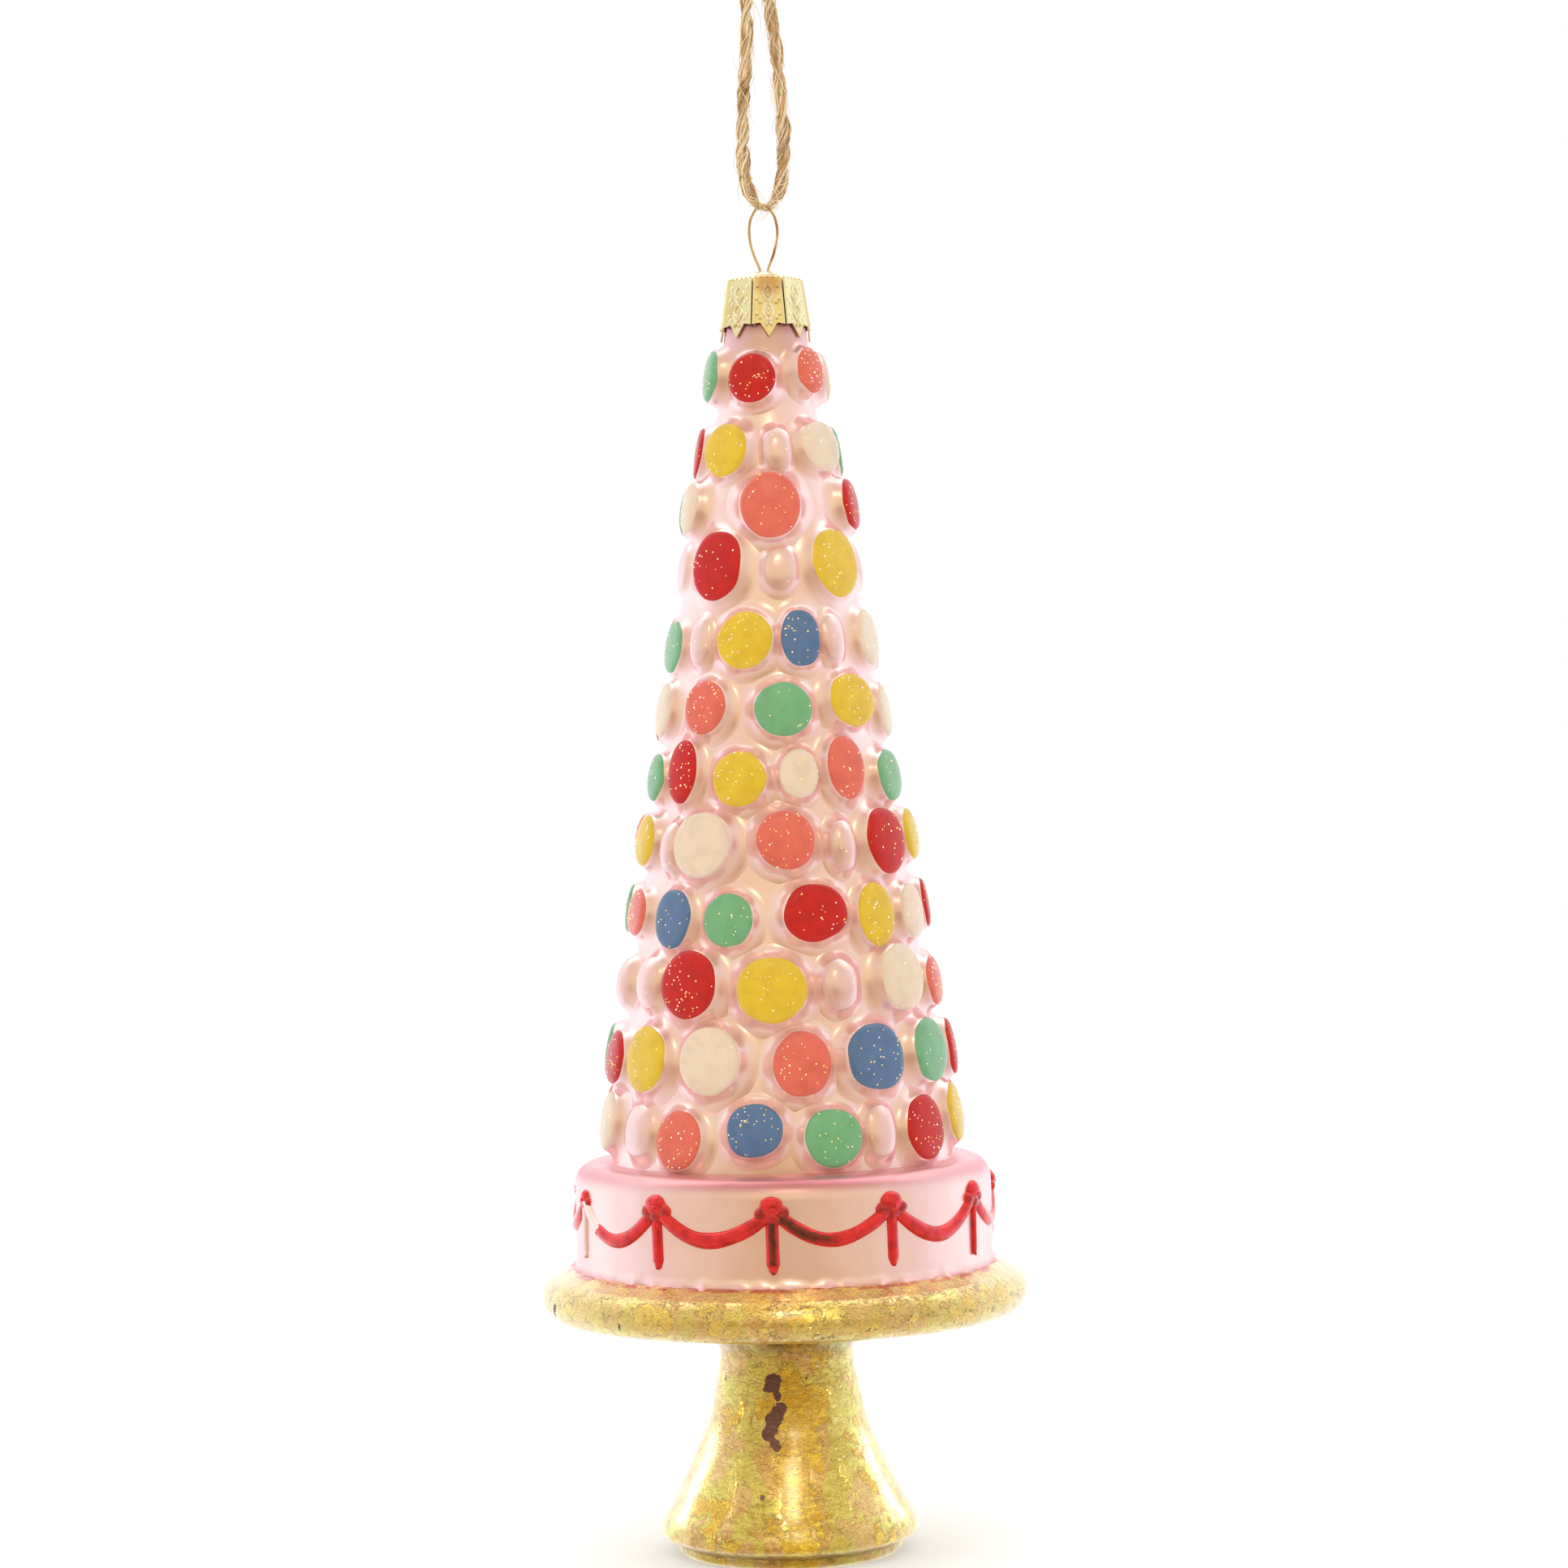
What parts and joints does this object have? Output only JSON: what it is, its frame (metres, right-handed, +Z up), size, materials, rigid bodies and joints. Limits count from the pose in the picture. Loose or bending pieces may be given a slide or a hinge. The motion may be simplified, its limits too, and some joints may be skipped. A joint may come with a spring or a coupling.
{
  "type": "glass macaron tower tree ornament",
  "caption": "Glass tree ornament: a macaron tower over a swagged cake drum on a footed gold stand, with a gilt cap, wire hanger and twine loop. It stands on its foot.",
  "frame": {"origin": "middle of the underside of the foot, on the ornament's vertical axis", "axes": "+Z up along the tower's axis, -Y towards the viewer of the picture, +X to the right"},
  "size_m": [0.0616, 0.0616, 0.2114],
  "materials": {
    "pink_glass": "satin pink lacquer over silvered blown glass, opaque",
    "gold_leaf": "crinkled gold leaf with olive, copper and worn brown patches",
    "enamel_red": "glossy enamel with glitter",
    "enamel_coral": "glossy enamel with glitter",
    "enamel_yellow": "glossy enamel with glitter",
    "enamel_green": "glossy enamel with glitter",
    "enamel_blue": "glossy enamel with glitter",
    "enamel_cream": "glossy enamel with glitter",
    "swag_paint": "thick glossy red paint",
    "glitter": "gold glitter flakes",
    "gilt_cap": "thin stamped gilt sheet",
    "hanger_wire": "drawn brassy wire",
    "jute": "twisted jute twine with loose fibres"
  },
  "bodies": {
    "root": {"glass_body": "pink_glass", "cap": "gilt_cap", "hanger_wire": "hanger_wire", "twine": "jute", "twine_knot": "jute"}
  },
  "joints": []
}
